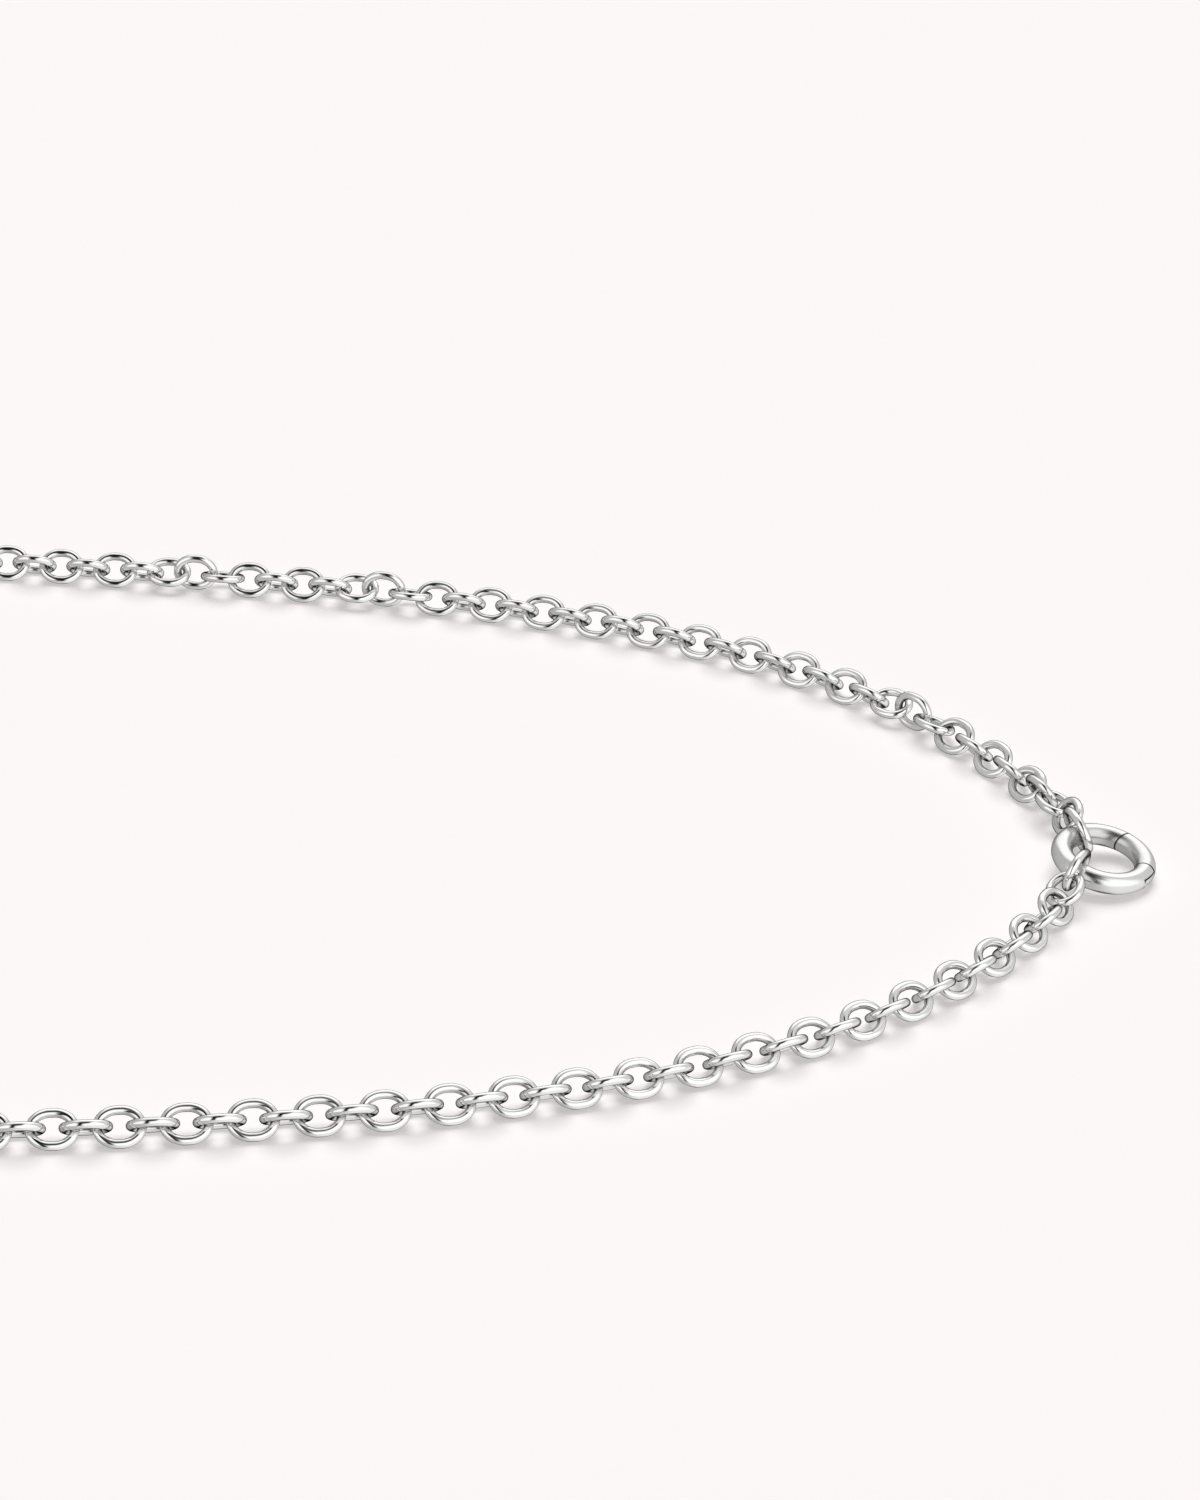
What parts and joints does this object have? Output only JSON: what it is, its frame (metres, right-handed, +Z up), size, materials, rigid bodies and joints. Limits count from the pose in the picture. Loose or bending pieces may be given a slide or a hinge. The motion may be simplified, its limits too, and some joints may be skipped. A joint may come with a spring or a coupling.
{
  "type": "cable chain necklace with a hinged ring clasp",
  "caption": "Cable chain necklace of round wire oval links, laid flat in a whole loop and joined at a round tube ring with a hinged gate.",
  "frame": {"origin": "on the surface that the necklace lies on, under the middle of its box", "axes": "+Z up, +X toward the ring, +Y toward the strand that lies farther from the viewer"},
  "size_m": [0.1918, 0.121, 0.005],
  "materials": {
    "chain_silver": "bright polish",
    "ring_silver": "soft polish, slightly satin",
    "pin_silver": "plain drawn wire"
  },
  "bodies": {
    "necklace": {"near_chain": "chain_silver", "far_chain": "chain_silver", "near_end_link": "chain_silver", "far_end_link": "chain_silver", "ring_body": "ring_silver", "hinge_pin": "pin_silver"},
    "gate": {"ring_gate": "ring_silver"}
  },
  "joints": [
    {"name": "gate_hinge", "type": "hinge", "parent": "necklace", "child": "gate", "pos_m": [0.09428, -0.00227, 0.00104], "axis": [-0.1495, 0.0724, -0.9861], "range_deg": [0, 65]}
  ]
}
